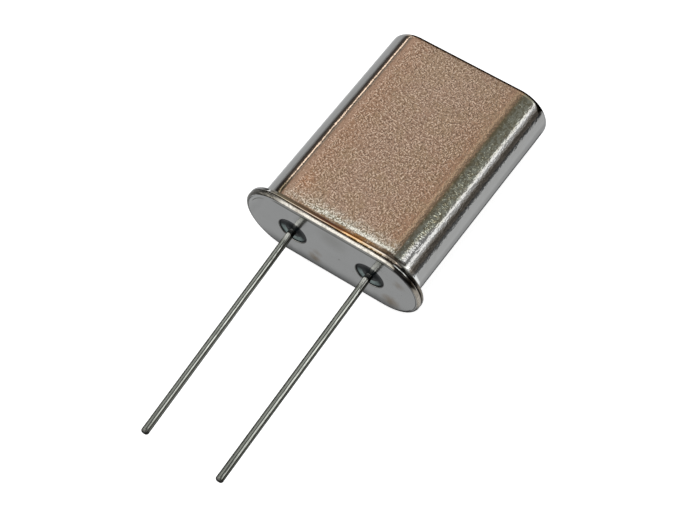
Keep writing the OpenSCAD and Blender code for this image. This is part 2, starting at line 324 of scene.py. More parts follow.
# ---------------------------------------------------------------- leads
def lead_wire(side_name, side):
    """One lead from its head to its cut end, as rings of (centre, direction, radius)."""
    lean = math.radians(LEAD_LEANS[side_name])
    down, across = Vector((0, 0, -1)), Vector((0, 1, 0))
    under_head = HEAD_TOP - HEAD_THICK
    head = [
        (HEAD_R - HEAD_EDGE, HEAD_TOP),
        (HEAD_R, HEAD_TOP - HEAD_EDGE),
        (HEAD_R, under_head + HEAD_EDGE),
        (HEAD_R - HEAD_EDGE, under_head),
        (LEAD_R + HEAD_FILLET, under_head),
        (LEAD_R, under_head - HEAD_FILLET),
    ]
    rings = [(Vector((0, 0, z)), down, r) for r, z in head]
    rings += [(Vector((0, 0, z)), down, LEAD_R) for z in np.linspace(1.3, -LEAD_DROP, 8)]
    for i in range(1, BEND_STEPS + 1):
        a = lean * i / BEND_STEPS
        centre = Vector((LEAD_BEND * (1 - math.cos(a)), 0, -LEAD_DROP - LEAD_BEND * math.sin(a)))
        rings.append((centre, Vector((math.sin(a), 0, -math.cos(a))), LEAD_R))
    start, along = rings[-1][0], rings[-1][1]
    length = (LEAD_LENGTH + start.z) / math.cos(lean)
    seed = 20 + 7 * side

    def stray(s, size_and_length, *place):
        size, wavelength = size_and_length
        return size * noise.noise(Vector((s / wavelength, *place)))

    for s in np.linspace(0, length - TIP_START, RUN_STEPS)[1:]:
        # a hand-straightened wire wanders by about a hundredth
        ease = math.sin(math.pi * s / length) ** 2
        aside = Vector(
            (ease * stray(s, WIRE_SWAY, seed, 0), ease * stray(s, WIRE_LIFT, seed + 5, 0), 0)
        )
        radius = LEAD_R * (1 + stray(s, WIRE_GIRTH, seed, 3))
        rings.append((start + along * s + aside, along, radius))
    tip = start + along * length
    rings += [(tip - along * back, along, radius) for back, radius in WIRE_TIP]

    verts, faces = [], []
    for centre, direction, radius in rings:
        upward = direction.cross(across).normalized()
        for i in range(WIRE_SIDES):
            a = 2 * math.pi * i / WIRE_SIDES
            p = centre + radius * (math.cos(a) * across + math.sin(a) * upward)
            verts.append((side * LEAD_X + p.x, p.y, p.z))
    top_mid, tip_mid = len(verts), len(verts) + 1
    verts += [(side * LEAD_X, 0, HEAD_TOP), (side * LEAD_X + tip.x, tip.y, tip.z)]
    last = (len(rings) - 1) * WIRE_SIDES
    for first in range(0, last, WIRE_SIDES):
        for i in range(WIRE_SIDES):
            j = (i + 1) % WIRE_SIDES
            below = first + WIRE_SIDES
            faces.append((first + i, first + j, below + j, below + i))
    for i in range(WIRE_SIDES):
        j = (i + 1) % WIRE_SIDES
        faces += [(top_mid, j, i), (tip_mid, last + i, last + j)]
    return build("lead_wire_" + side_name, verts, faces, WIRE_SHARP_ANGLE)


leads = []
for side_name, side in SIDES:
    wire = lead_wire(side_name, side)
    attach(wire, "root")
    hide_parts("lead_" + side_name)
    leads.append(wire)


# ---------------------------------------------------------------- materials
MIX_A, MIX_B, MIX_RESULT = 6, 7, 2  # the colour sockets of the Mix node
RAMP_SPAN = (-6.0, 6.0)  # x that the ramps along the width cover
WIRE_SPAN = (-0.25, 0.25)
STUDIO_WHITE = (1, 1, 1, 1)


class Nodes:
    """Short spellings for building one material's node tree."""

    def __init__(self, name, tree=None):
        if tree is None:
            self.material = bpy.data.materials.new(name)
            self.material.use_nodes = True
            tree = self.material.node_tree
        self.tree = tree
        tree.nodes.clear()

    def add(self, kind, inputs=None, **settings):
        n = self.tree.nodes.new("ShaderNode" + kind)
        for key, value in settings.items():
            setattr(n, key, value)
        for key, value in (inputs or {}).items():
            self.set(n.inputs[key], value)
        return n

    def set(self, socket, value):
        if isinstance(value, bpy.types.NodeSocket):
            self.tree.links.new(value, socket)
        else:
            socket.default_value = value

    def math(self, operation, a, b=None, clamp=False):
        n = self.add("Math", {0: a}, operation=operation, use_clamp=clamp)
        if b is not None:
            self.set(n.inputs[1], b)
        return n.outputs[0]

    def plus(self, a, b, clamp=False):
        return self.math("ADD", a, b, clamp)

    def minus(self, a, b):
        return self.math("SUBTRACT", a, b)

    def times(self, a, b):
        return self.math("MULTIPLY", a, b)

    def over(self, a, b):
        return self.math("DIVIDE", a, b)

    def larger(self, a, b):
        return self.math("MAXIMUM", a, b)

    def smaller(self, a, b):
        return self.math("MINIMUM", a, b)

    def magnitude(self, a):
        return self.math("ABSOLUTE", a)

    def sign(self, a):
        return self.math("SIGN", a)

    def distance(self, dx, dy):
        squares = self.plus(self.times(dx, dx), self.times(dy, dy))
        return self.math("SQRT", squares)

    def step(self, value, low, high, out_low=0.0, out_high=1.0):
        """Eased from out_low at low to out_high at high; low may be the larger one."""
        limits = {"From Min": low, "From Max": high, "To Min": out_low, "To Max": out_high}
        n = self.add("MapRange", {"Value": value, **limits}, interpolation_type="SMOOTHSTEP")
        return n.outputs["Result"]

    def spread(self, noise_value, out_low, out_high):
        """The usual range of a noise spread from out_low to out_high."""
        return self.step(noise_value, 0.3, 0.7, out_low, out_high)

    def band(self, value, low, high, soft):
        """1 between low and high, falling to 0 over soft on both sides."""
        return self.times(self.step(value, low - soft, low), self.step(value, high + soft, high))

    def mix(self, factor, a, b):
        """Colour a where factor is 0, b where it is 1."""
        n = self.add("Mix", {"Factor": factor, MIX_A: a, MIX_B: b}, data_type="RGBA")
        return n.outputs[MIX_RESULT]

    def colour_ramp(self, factor, stops):
        """Colours given as (position, colour), positions from 0 to 1."""
        n = self.add("ValToRGB", {"Fac": factor})
        elements = n.color_ramp.elements
        while len(elements) < len(stops):
            elements.new(0.5)
        for element, (position, colour) in zip(elements, stops):
            element.position = position
            element.color = colour
        return n.outputs["Color"]

    def ramp(self, value, low, high, stops):
        """Colours given as (value, colour) between low and high."""
        place = self.add("MapRange", {"Value": value, "From Min": low, "From Max": high})
        stops = [((at - low) / (high - low), colour) for at, colour in stops]
        return self.colour_ramp(place.outputs["Result"], stops)

    def noise(self, vector, scale, detail=2.0, roughness=0.5, distortion=0.0):
        settings = {"Detail": detail, "Roughness": roughness, "Distortion": distortion}
        return self.add("TexNoise", {"Vector": vector, "Scale": scale, **settings}).outputs["Fac"]

    def wobble(self, value, noise_value, size):
        """value moved about by a noise, by half of size each way."""
        return self.plus(value, self.times(self.minus(noise_value, 0.5), size))

    def folds(self, vector, scale, width):
        """Ridges along the winding lines where a noise field passes one half."""
        n = self.noise(vector, scale, 1.0, 0.5, 0.7)
        return self.step(self.magnitude(self.minus(n, 0.5)), width, 0.0)

    def relief(self, vector, reach, scale, width):
        """Near 1 on the flank of each ridge that faces along reach, near -1 on the other."""
        ahead = self.add("VectorMath", {0: vector, 1: reach}, operation="ADD").outputs[0]
        behind = self.add("VectorMath", {0: vector, 1: reach}, operation="SUBTRACT").outputs[0]
        return self.minus(self.folds(ahead, scale, width), self.folds(behind, scale, width))

    def scaled(self, vector, x, y, z):
        return self.add("Mapping", {"Vector": vector, "Scale": (x, y, z)}).outputs["Vector"]

    def unit_frame(self):
        """Object coordinates turned back into the upright frame, in millimetres."""
        back = LAY.inverted()
        n = self.add("Mapping", {
            "Vector": self.add("TexCoord").outputs["Object"],
            "Location": back.to_translation(),
            "Rotation": back.to_euler(),
            "Scale": (1 / MM,) * 3,
        })
        return n.outputs["Vector"]

    def split(self, vector):
        n = self.add("SeparateXYZ", {0: vector})
        return n.outputs["X"], n.outputs["Y"], n.outputs["Z"]

    def spot(self, x, y, at, size):
        """Soft round patch centred on at in the x, y plane."""
        return self.step(self.distance(self.minus(x, at[0]), self.minus(y, at[1])), size, 0.0)

    def seen_in(self, path):
        """1 for what metal mirrors or glass shows, 0 for the camera and diffuse light."""
        outputs = path.outputs
        return self.larger(outputs["Is Glossy Ray"], outputs["Is Transmission Ray"])

    def bump(self, height, distance):
        """The normal of a relief whose full height is distance, in millimetres."""
        n = self.add("Bump", {"Strength": 1.0, "Distance": distance * MM, "Height": height})
        return n.outputs[0]

    def metal(self, colour, rough, height, distance, rim=1.0):
        """Bare metal, its glancing reflections dimmed to rim."""
        if not isinstance(rim, bpy.types.NodeSocket):
            rim = (rim, rim, rim, 1)
        return self.principled({
            "Base Color": colour,
            "Metallic": 1.0,
            "Roughness": rough,
            "Specular Tint": rim,
            "Normal": self.bump(height, distance),
        })

    def emission(self, colour, strength):
        return self.add("Emission", {"Color": colour, "Strength": strength}).outputs[0]

    def principled(self, inputs):
        return self.output(self.add("BsdfPrincipled", inputs).outputs[0])

    def output(self, shader):
        self.add("OutputMaterial", {"Surface": shader})
        return self.material


def srgb(r, g, b):
    """A colour written as it looks on screen, 0 to 255, as linear RGBA."""
    values = [c / 255 for c in (r, g, b)]
    linear = [c / 12.92 if c <= 0.04045 else ((c + 0.055) / 1.055) ** 2.4 for c in values]
    return (*linear, 1.0)


def beside_lead(t, x):
    """How far x lies to the right of the axis of the nearer lead's seal."""
    return t.times(t.minus(t.magnitude(x), LEAD_X), t.sign(x))


def can_material():
    t = Nodes("can_sheet_finish")
    p = t.unit_frame()
    x, _, z = t.split(p)
    ragged = t.noise(p, 4.5, 3.0)
    # pressed grain of the sheet: worm-like folds, four or five to the millimetre, patchy and fading
    # towards the edges of the face; their relief is painted in, a painted highlight along one
    # flank, painted shade along the other
    grain = t.plus(t.noise(p, 6.5, 1.5, 0.5, 0.9), t.times(t.folds(p, 4.4, 0.12), 0.2))
    one_way = t.relief(p, (-0.012, 0.0, 0.028), 3.7, 0.10)
    other_way = t.relief(t.scaled(p, 1.1, 1.1, 1.1), (0.030, 0.0, 0.015), 3.6, 0.10)
    flank = t.times(t.plus(one_way, other_way), 0.85)
    patches = t.step(t.noise(p, 1.1, 3.0, 0.6), 0.38, 0.58, 0.68, 1.0)
    fading = t.times(t.step(x, 3.3, 2.5, 0.35, 1.0), t.step(x, -3.45, -3.1, 0.5, 1.0))
    flank = t.times(flank, t.times(patches, fading))
    painted_highlight_flank = t.step(flank, 0.10, 0.75, 0.0, 0.74)
    painted_shade_flank = t.step(flank, -0.10, -0.75, 0.0, 0.72)
    away = t.magnitude(t.wobble(x, t.noise(p, 0.9, 2.0), 1.2))
    brown = t.mix(t.step(away, 0.8, 3.6), srgb(152, 126, 107), srgb(150, 119, 96))
    clouded = t.step(t.noise(p, 0.8, 2.0, 0.6), 0.45, 0.62, 0.0, 0.6)
    brown = t.mix(clouded, brown, srgb(148, 125, 100))
    brown = t.mix(t.times(t.spot(x, z, (-3.1, 1.9), 1.0), 0.7), brown, srgb(166, 124, 94))
    brown = t.mix(t.step(z, 7.0, 12.0, 0.0, 0.08), brown, srgb(206, 184, 164))
    brown = t.mix(t.band(x, -3.52, -3.2, 0.12), brown, srgb(162, 132, 111))
    # painted light along the right-hand edge of the face, where the wall begins to turn
    brown = t.mix(t.band(x, 3.25, 3.6, 0.15), brown, srgb(172, 145, 119))
    brown = t.mix(painted_highlight_flank, brown, srgb(212, 190, 170))
    brown = t.mix(painted_shade_flank, brown, srgb(98, 72, 54))
    nickel = t.mix(t.noise(p, 2.0, 3.0), srgb(164, 163, 160), srgb(172, 172, 171))
    # the copper-brown tint ends raggedly where the wall starts to turn, through olive on the right
    right = t.wobble(x, ragged, 0.16)
    olive = t.mix(t.step(right, 3.50, 3.75), srgb(162, 146, 114), srgb(174, 175, 158))
    olive = t.mix(t.step(z, 4.0, 1.5, 0.0, 0.6), olive, srgb(166, 170, 162))
    stain = t.step(t.noise(t.scaled(p, 1.0, 1.0, 0.75), 5.0, 3.0, 0.65, 0.6), 0.58, 0.40, 0.0, 0.62)
    olive = t.mix(stain, olive, srgb(122, 110, 80))
    # the same painted highlight and painted shade on the olive
    olive = t.mix(t.times(painted_highlight_flank, 0.8), olive, srgb(196, 199, 188))
    olive = t.mix(t.times(painted_shade_flank, 0.9), olive, srgb(108, 102, 84))
    outer = t.plus(right, t.step(z, 4.0, 1.5, 0.0, 0.32))
    olive = t.mix(t.step(outer, 4.05, 4.35), olive, nickel)
    colour = t.mix(t.step(right, 3.46, 3.56), brown, olive)
    left = t.wobble(t.times(x, -1.0), ragged, 0.10)
    line = t.mix(t.step(t.wobble(z, ragged, 0.8), 2.2, 1.2), srgb(172, 152, 134), srgb(104, 92, 74))
    colour = t.mix(t.step(left, 3.56, 3.62), colour, t.mix(t.step(left, 3.85, 4.1), line, nickel))
    flat_end = (13.14, 13.18)  # heights over which the closed end's rounding turns flat
    colour = t.mix(t.step(z, *flat_end), colour, nickel)
    # painted shade over the rounding of the closed end, darkest at its right-hand corner; its
    # glancing reflections are dimmed there too
    corner = t.step(t.plus(z, t.step(right, 4.1, 4.7, 0.0, 0.28)), 12.88, 12.97)
    corner = t.times(corner, t.band(right, 3.9, 4.6, 0.12))
    crown = t.times(t.step(z, 12.87, 12.98), t.band(x, -3.65, 4.6, 0.15))
    crown = t.times(t.larger(crown, corner), t.step(z, *reversed(flat_end)))
    colour = t.mix(crown, colour, t.mix(corner, srgb(64, 50, 34), srgb(32, 31, 26)))
    glancing = t.mix(crown, (0.94, 0.94, 0.94, 1), (0.05, 0.05, 0.05, 1))
    # pale, speckled strip just above the flange, strongest right of the middle
    fleck = t.plus(t.step(t.noise(p, 10.0, 2.0, 0.6, 0.6), 0.42, 0.62), t.times(flank, 0.5))
    crowded = t.times(t.band(z, 0.95, 1.06, 0.06), t.times(t.band(x, 0.9, 2.9, 0.6), 0.6))
    fleck = t.plus(fleck, crowded, clamp=True)
    pale = t.mix(fleck, srgb(128, 119, 98), srgb(230, 227, 215))
    dense = t.band(t.wobble(z, t.noise(p, 1.3, 3.0, 0.6), 0.35), 0.93, 1.12, 0.12)
    loose = t.step(t.wobble(z, t.noise(p, 2.0, 3.0, 0.6), 0.9), 1.9, 1.0, 0.0, 0.6)
    reach = t.plus(t.times(t.band(x, -1.0, 3.2, 1.4), 0.62), 0.38, clamp=True)
    strip = t.times(t.larger(t.times(dense, 0.95), loose), reach)
    on_face = t.math("LESS_THAN", t.magnitude(x), 3.5)
    colour = t.mix(t.times(strip, on_face), colour, pale)
    # heat of the weld on the foot of the wall and round the flange, straw to dark brown; towards
    # the right-hand end the foot is a painted reflection instead
    heat = t.noise(p, 1.6, 3.0, 0.6)
    lift = t.times(t.larger(t.smaller(x, 3.0), -3.0), 0.030)
    lift = t.minus(t.plus(lift, t.step(x, 3.95, 4.1, 0.0, 0.08)), t.step(x, 3.2, 3.6, 0.0, 0.09))
    low = t.minus(t.wobble(z, ragged, 0.12), lift)
    foot = t.times(t.step(low, 0.92, 0.79), t.times(t.step(x, -3.9, -3.4), t.step(x, 5.2, 4.9)))
    foot = t.times(foot, t.larger(t.step(heat, 0.30, 0.55, 0.6, 0.95), t.step(x, 3.9, 4.1)))
    # painted reflection on the foot towards the right-hand end: dark, then grey, then near-white
    upper = t.ramp(x, *RAMP_SPAN, (
        (-3.4, srgb(128, 100, 74)), (0.6, srgb(130, 98, 68)), (1.0, srgb(132, 90, 46)),
        (1.9, srgb(132, 94, 54)), (2.6, srgb(110, 88, 66)), (3.3, srgb(72, 58, 44)),
        (3.9, srgb(58, 50, 40)), (4.05, srgb(92, 90, 84)), (4.2, srgb(120, 119, 114)),
        (4.4, srgb(244, 245, 243)),
    ))
    lower = t.ramp(x, *RAMP_SPAN, (
        (-3.4, srgb(90, 74, 57)), (-1.2, srgb(66, 48, 33)), (0.5, srgb(68, 40, 20)),
        (1.0, srgb(84, 45, 4)), (1.8, srgb(84, 51, 10)), (2.6, srgb(80, 64, 42)),
        (3.3, srgb(46, 37, 28)), (3.95, srgb(44, 38, 30)), (4.08, srgb(146, 146, 138)),
        (4.35, srgb(196, 197, 194)),
    ))
    colour = t.mix(foot, colour, t.mix(t.step(z, 0.78, 0.71), upper, lower))
    along = t.wobble(x, t.noise(p, 2.2, 3.0, 0.6), 0.9)
    straw = t.ramp(along, *RAMP_SPAN, (
        (-6.0, srgb(118, 116, 108)), (-4.4, srgb(78, 76, 72)), (-3.8, srgb(84, 82, 76)),
        (-3.3, srgb(128, 122, 110)), (-2.8, srgb(158, 148, 130)), (-2.0, srgb(164, 151, 136)),
        (-1.2, srgb(168, 152, 136)), (-0.4, srgb(156, 137, 118)), (0.5, srgb(162, 134, 110)),
        (0.95, srgb(244, 203, 156)), (1.7, srgb(244, 207, 164)), (2.3, srgb(226, 210, 186)),
        (3.0, srgb(234, 221, 203)), (3.9, srgb(214, 198, 180)), (4.12, srgb(120, 112, 104)),
        (4.3, srgb(36, 36, 33)), (4.95, srgb(40, 40, 36)), (5.2, srgb(114, 107, 99)),
        (6.0, srgb(150, 140, 124)),
    ))
    straw = t.mix(t.step(heat, 0.56, 0.70, 0.0, 0.25), straw, srgb(96, 78, 60))
    scorch = t.ramp(along, *RAMP_SPAN, (
        (-6.0, srgb(160, 160, 158)), (-3.9, srgb(160, 160, 158)), (-3.5, srgb(96, 88, 72)),
        (-1.4, srgb(88, 68, 50)), (-0.4, srgb(78, 46, 32)), (0.5, srgb(100, 58, 32)),
        (0.9, srgb(130, 74, 14)), (1.8, srgb(126, 78, 20)), (2.4, srgb(100, 72, 44)),
        (3.3, srgb(54, 44, 36)), (3.95, srgb(50, 42, 34)), (4.25, srgb(124, 124, 116)),
        (4.9, srgb(116, 114, 108)), (5.4, srgb(110, 104, 96)),
    ))
    # the colours climb the flange from left to right
    left_part = t.larger(t.smaller(along, 0.0), -2.5)
    right_part = t.smaller(t.larger(along, 0.0), 2.5)

    def level(left_slope, right_slope):
        """Height above a line that climbs by so much a millimetre, left and right of the middle."""
        return t.minus(z, t.plus(t.times(left_part, left_slope), t.times(right_part, right_slope)))

    straw = t.mix(t.step(level(0.012, 0.031), 0.316, 0.346), straw, scorch)
    colour = t.mix(t.step(z, 0.56, 0.50), colour, straw)
    sooty = t.step(t.noise(p, 3.5, 3.0, 0.7), 0.40, 0.60, 0.6, 1.0)
    soot = t.times(t.step(level(0.026, 0.012), 0.315, 0.285), sooty)
    char = t.mix(t.step(z, 0.285, 0.275), srgb(112, 86, 46), srgb(62, 50, 34))
    char = t.mix(t.step(along, 2.8, 3.6), char, srgb(66, 58, 46))
    colour = t.mix(soot, colour, t.mix(t.step(along, 3.9, 4.2), char, srgb(30, 28, 26)))
    face = t.step(t.magnitude(x), 3.6, 3.4)
    rough = t.plus(t.times(face, 0.10), t.spread(t.noise(p, 3.0, 2.0), 0.04, 0.07))
    # the drawing die smooths the grain away round the two ends
    depth = t.times(t.step(z, 0.5, 0.9, 0.2, 1.0), t.step(x, 4.6, 3.4, 0.30, 1.0))
    depth = t.times(depth, t.step(x, -3.66, -3.1, 0.15, 1.0))
    smooth = t.times(t.band(x, 3.75, 4.1, 0.35), t.step(z, 1.5, 7.0, 0.68, 0.36))
    depth = t.times(depth, t.step(smooth, 0.0, 1.0, 1.0, 0.0))
    # and leaves drawing streaks in their place on the right-hand end
    streaks = t.minus(t.noise(t.scaled(p, 1.0, 1.0, 0.35), 4.5, 2.0, 0.6, 0.4), 0.5)
    streaks = t.times(streaks, t.times(t.band(x, 4.2, 4.75, 0.15), 0.55))
    height = t.plus(t.times(grain, depth), streaks)
    return t.metal(colour, rough, height, 0.015, glancing)


def base_material():
    t = Nodes("base_plate_finish")
    p = t.unit_frame()
    x, y, z = t.split(p)
    colour = t.mix(t.noise(p, 1.0, 3.0), srgb(172, 172, 170), srgb(179, 179, 178))
    # smudges left by the heat of the weld and of the seals
    blot = t.wobble(x, t.noise(p, 3.0, 3.0, 0.6), 0.5)
    blot_y = t.wobble(y, t.noise(p, 3.4, 3.0, 0.6), 0.5)
    smudge = t.spot(blot, blot_y, (-1.15, 1.45), 0.55)
    more_smudges = (((3.7, 1.4), 0.75, 1.0), ((4.3, -0.7), 0.5, 0.6), ((-0.95, 0.8), 0.45, 0.5))
    for at, size, strength in more_smudges:
        smudge = t.larger(smudge, t.times(t.spot(blot, blot_y, at, size), strength))
    colour = t.mix(t.times(smudge, 0.9), colour, srgb(136, 122, 104))
    colour = t.mix(t.times(t.spot(x, y, (0.53, 0.14), 0.09), 0.8), colour, srgb(118, 116, 112))
    # a broad darker patch towards the front of the face
    darker_patch = t.times(t.spot(blot, blot_y, (0.2, -1.4), 1.3), 0.7)
    colour = t.mix(darker_patch, colour, srgb(156, 155, 151))
    # painted shade of a coined groove just inside the rolled edge, and of a groove at the left end
    past_end = t.larger(t.minus(t.magnitude(x), HALF_SPACING), 0.0)
    reach = t.distance(past_end, y)
    front = t.over(t.times(y, -1.0), reach)
    broad = t.times(t.step(front, 0.80, 0.97), t.step(x, -3.7, -3.2))
    coined_groove_shade = t.times(t.band(reach, FLANGE - 0.30, FLANGE - 0.22, 0.06), broad)
    left_end = t.times(t.step(x, -4.0, -4.4), t.step(front, 0.35, 0.55))
    end_groove_shade = t.times(t.band(reach, FLANGE - 0.37, FLANGE - 0.35, 0.03), left_end)
    coined_groove_shade = t.times(t.larger(coined_groove_shade, end_groove_shade), t.step(z, 0.020, 0.012))
    colour = t.mix(coined_groove_shade, colour, srgb(112, 111, 104))
    # painted shade in a dark line where the rolled edge begins, none along the front and broader
    # behind
    outline = t.times(t.band(reach, FLANGE - 0.200, FLANGE - 0.175, 0.02), t.step(front, 0.8, 0.5))
    behind = t.step(t.plus(front, t.times(x, 0.25)), -0.60, -0.85)
    outline = t.larger(outline, t.times(t.step(reach, FLANGE - 0.19, FLANGE - 0.16), behind))
    colour = t.mix(t.times(outline, t.step(z, 0.09, 0.06)), colour, srgb(80, 79, 75))
    speck = t.step(t.noise(p, 6.0, 1.0), 0.76, 0.80)
    colour = t.mix(speck, colour, srgb(110, 108, 104))
    # the rolled lower edge is polished along the broad sides, with painted shade on its back and a
    # painted dark reflection at both ends
    along = t.wobble(x, t.noise(p, 2.0, 3.0, 0.6), 0.6)
    polish_and_shade = t.ramp(along, *RAMP_SPAN, (
        (-6.0, srgb(100, 98, 94)), (-4.5, srgb(72, 70, 66)), (-3.5, srgb(68, 66, 60)),
        (-2.95, srgb(160, 156, 148)), (-2.4, srgb(172, 168, 160)), (-2.0, srgb(152, 147, 138)),
        (-1.5, srgb(174, 170, 162)), (3.4, srgb(178, 174, 166)), (3.8, srgb(150, 145, 135)),
        (4.2, srgb(150, 142, 128)), (4.9, srgb(96, 92, 84)), (5.2, srgb(128, 122, 112)),
        (5.4, srgb(182, 174, 162)), (6.0, srgb(190, 184, 172)),
    ))
    dulled = t.step(t.noise(p, 7.0, 2.0, 0.6), 0.55, 0.36, 0.0, 0.55)
    polish_and_shade = t.mix(dulled, polish_and_shade, srgb(120, 116, 108))
    edge = t.band(t.wobble(z, t.noise(p, 5.0, 2.0), 0.016), 0.011, 0.17, 0.007)
    colour = t.mix(edge, colour, t.mix(t.step(y, 0.2, 0.8), polish_and_shade, srgb(66, 64, 61)))
    # painted dark reflection, mottled black, over the edge towards its right-hand end and onto the
    # seating face beside it
    mottled_dark_reflection = t.times(t.band(z, 0.005, 0.5, 0.004), t.step(t.noise(p, 3.2, 3.0, 0.7), 0.34, 0.48))
    mottled_dark_reflection = t.times(mottled_dark_reflection, t.band(along, 4.15, 5.0, 0.25))
    colour = t.mix(mottled_dark_reflection, colour, srgb(38, 36, 33))
    uneven = t.wobble(reach, t.noise(p, 4.0, 2.0), 0.08)
    painted_black_reflection = t.times(t.step(uneven, FLANGE - 0.27, FLANGE - 0.23), t.band(along, 4.15, 4.8, 0.3))
    colour = t.mix(t.times(painted_black_reflection, t.step(z, 0.15, 0.10)), colour, srgb(34, 33, 31))
    # darker ring on the edge round each seal
    off_hole = t.minus(t.magnitude(x), LEAD_X)
    from_hole = t.distance(off_hole, y)
    colour = t.mix(t.step(from_hole, SEAL_R + 0.06, SEAL_R + 0.05), colour, srgb(112, 111, 108))
    # soot over the upper part of the edge, next to the weld
    height = t.plus(z, t.step(x, 2.2, 3.2, 0.0, 0.032))
    sooty = t.step(t.noise(p, 3.5, 3.0, 0.7), 0.35, 0.60, 0.6, 1.0)
    soot = t.times(t.step(height, 0.152, 0.185), sooty)
    sooted = t.ramp(along, *RAMP_SPAN, (
        (-4.2, srgb(84, 78, 68)), (-3.4, srgb(92, 84, 72)), (-2.8, srgb(112, 102, 88)),
        (-1.6, srgb(88, 74, 56)), (0.4, srgb(84, 64, 44)), (1.2, srgb(92, 66, 30)),
        (2.2, srgb(84, 70, 48)), (3.4, srgb(72, 64, 52)), (4.9, srgb(50, 46, 40)),
        (5.2, srgb(160, 150, 138)),
    ))
    colour = t.mix(soot, colour, sooted)
    # a painted highlight along the upper rounding of the edge, towards its right-hand end
    painted_edge_highlight = t.times(t.band(z, 0.168, 0.214, 0.012), t.band(along, 4.1, 4.6, 0.25))
    colour = t.mix(painted_edge_highlight, colour, srgb(176, 178, 174))
    rough = t.spread(t.noise(p, 4.0, 3.0), 0.14, 0.19)
    return t.metal(colour, rough, t.noise(p, 5.0, 2.0), 0.003)


def glass_material():
    t = Nodes("seal_glass_finish")
    p = t.unit_frame()
    x, y, _ = t.split(p)
    colour = t.mix(t.noise(p, 3.0, 3.0), srgb(8, 12, 13), srgb(22, 29, 32))
    # a painted highlight in a crescent along the lower, left-hand side of the glass's hollow
    beside = beside_lead(t, x)
    out = t.distance(beside, y)
    low_left = t.minus(t.times(y, 0.95), t.times(beside, 0.30))
    crescent = t.times(t.band(out, 0.55, 0.72, 0.11), t.step(t.over(low_left, out), 0.0, 0.75))
    glow = t.times(crescent, t.step(t.noise(p, 2.5, 2.0), 0.3, 0.6, 0.72, 1.0))
    colour = t.mix(glow, colour, srgb(150, 167, 165))
    colour = t.mix(t.step(out, SEAL_R - 0.06, SEAL_R - 0.02), colour, srgb(6, 8, 9))
    rough = t.spread(t.noise(p, 6.0, 2.0), 0.08, 0.16)
    level = t.step(out, SEAL_R - 0.03, SEAL_R - 0.09, 0.02, 0.055)
    return t.principled({
        "Base Color": colour,
        "Roughness": rough,
        "IOR": 1.5,
        "Specular IOR Level": level,
        "Normal": t.bump(t.noise(p, 4.0, 2.0), 0.004),
    })


def lead_material():
    t = Nodes("lead_wire_finish")
    p = t.unit_frame()
    drawn = t.noise(t.scaled(p, 9.0, 9.0, 0.7), 1.0, 2.0, 0.6)
    x, _, z = t.split(p)
    # how far to the right of its wire's own axis each point lies
    right = t.step(x, -0.1, 0.1)
    left_lean, right_lean = (math.tan(math.radians(LEAD_LEANS[name])) for name, _ in SIDES)
    lean = t.plus(left_lean, t.times(right, right_lean - left_lean))
    drop = t.larger(t.minus(-LEAD_DROP, z), 0.0)
    beside = t.minus(beside_lead(t, x), t.times(drop, lean))
    beside = t.minus(beside, t.times(right, 0.030))
    beside = t.wobble(beside, t.noise(t.scaled(p, 0.6, 0.6, 0.6), 1.0, 3.0, 0.6), 0.04)
    # die marks run along the wire; across it the colour holds a painted highlight just right of its
    # axis, painted shade further right and at its left edge
    colour = t.ramp(beside, *WIRE_SPAN, (
        (-0.205, srgb(62, 64, 60)), (-0.165, srgb(96, 98, 92)), (-0.12, srgb(114, 116, 108)),
        (-0.08, srgb(124, 126, 118)), (-0.022, srgb(150, 153, 146)), (0.002, srgb(118, 120, 113)),
        (0.031, srgb(128, 131, 124)), (0.056, srgb(150, 153, 146)), (0.076, srgb(188, 191, 184)),
        (0.098, srgb(180, 183, 176)), (0.118, srgb(114, 115, 108)), (0.142, srgb(80, 80, 76)),
        (0.168, srgb(88, 89, 84)), (0.188, srgb(142, 143, 136)), (0.215, srgb(140, 141, 134)),
    ))
    # painted shade, darker towards the cut end
    colour = t.mix(t.step(z, -7.0, -10.5, 0.0, 0.28), colour, srgb(100, 102, 96))
    streak = t.step(t.noise(t.scaled(p, 14.0, 14.0, 1.1), 1.0, 3.0, 0.65), 0.54, 0.66, 0.0, 0.55)
    colour = t.mix(streak, colour, srgb(92, 92, 85))
    # brighter where the wire leaves the glass, as a painted highlight on its left side and painted
    # shade on its right
    root_light_and_shade = t.mix(t.step(beside, 0.11, 0.14), srgb(216, 217, 211), srgb(66, 66, 62))
    near_glass = t.step(t.wobble(z, t.noise(p, 3.0, 2.0), 0.4), -1.0, -0.45, 0.0, 0.85)
    colour = t.mix(near_glass, colour, root_light_and_shade)
    colour = t.mix(t.step(z, -13.28, -13.42), colour, srgb(74, 74, 70))
    rough = t.spread(drawn, 0.05, 0.09)
    return t.metal(colour, rough, drawn, 0.003, 0.55)


def strip_material():
    t = Nodes("spring_strip_finish")
    p = t.unit_frame()
    rolled = t.noise(t.scaled(p, 12.0, 1.5, 1.5), 1.0, 3.0, 0.6)
    colour = t.mix(t.noise(p, 1.5, 3.0), srgb(196, 192, 178), srgb(206, 203, 194))
    return t.metal(colour, t.spread(rolled, 0.22, 0.34), rolled, 0.004)


def quartz_material():
    t = Nodes("quartz_finish")
    p = t.unit_frame()
    lapped = t.noise(p, 9.0, 3.0, 0.6)
    return t.principled({
        "Base Color": t.mix(lapped, srgb(232, 238, 240), srgb(244, 247, 248)),
        "Transmission Weight": 0.9,
        "Roughness": t.spread(lapped, 0.10, 0.22),
        "IOR": 1.544,
        "Normal": t.bump(lapped, 0.003),
    })


def silver_material():
    t = Nodes("silver_film_finish")
    p = t.unit_frame()
    frost = t.noise(p, 14.0, 2.0, 0.6)
    colour = t.mix(t.noise(p, 0.9, 3.0), srgb(220, 220, 218), srgb(230, 229, 225))
    return t.metal(colour, t.spread(frost, 0.30, 0.42), frost, 0.002)


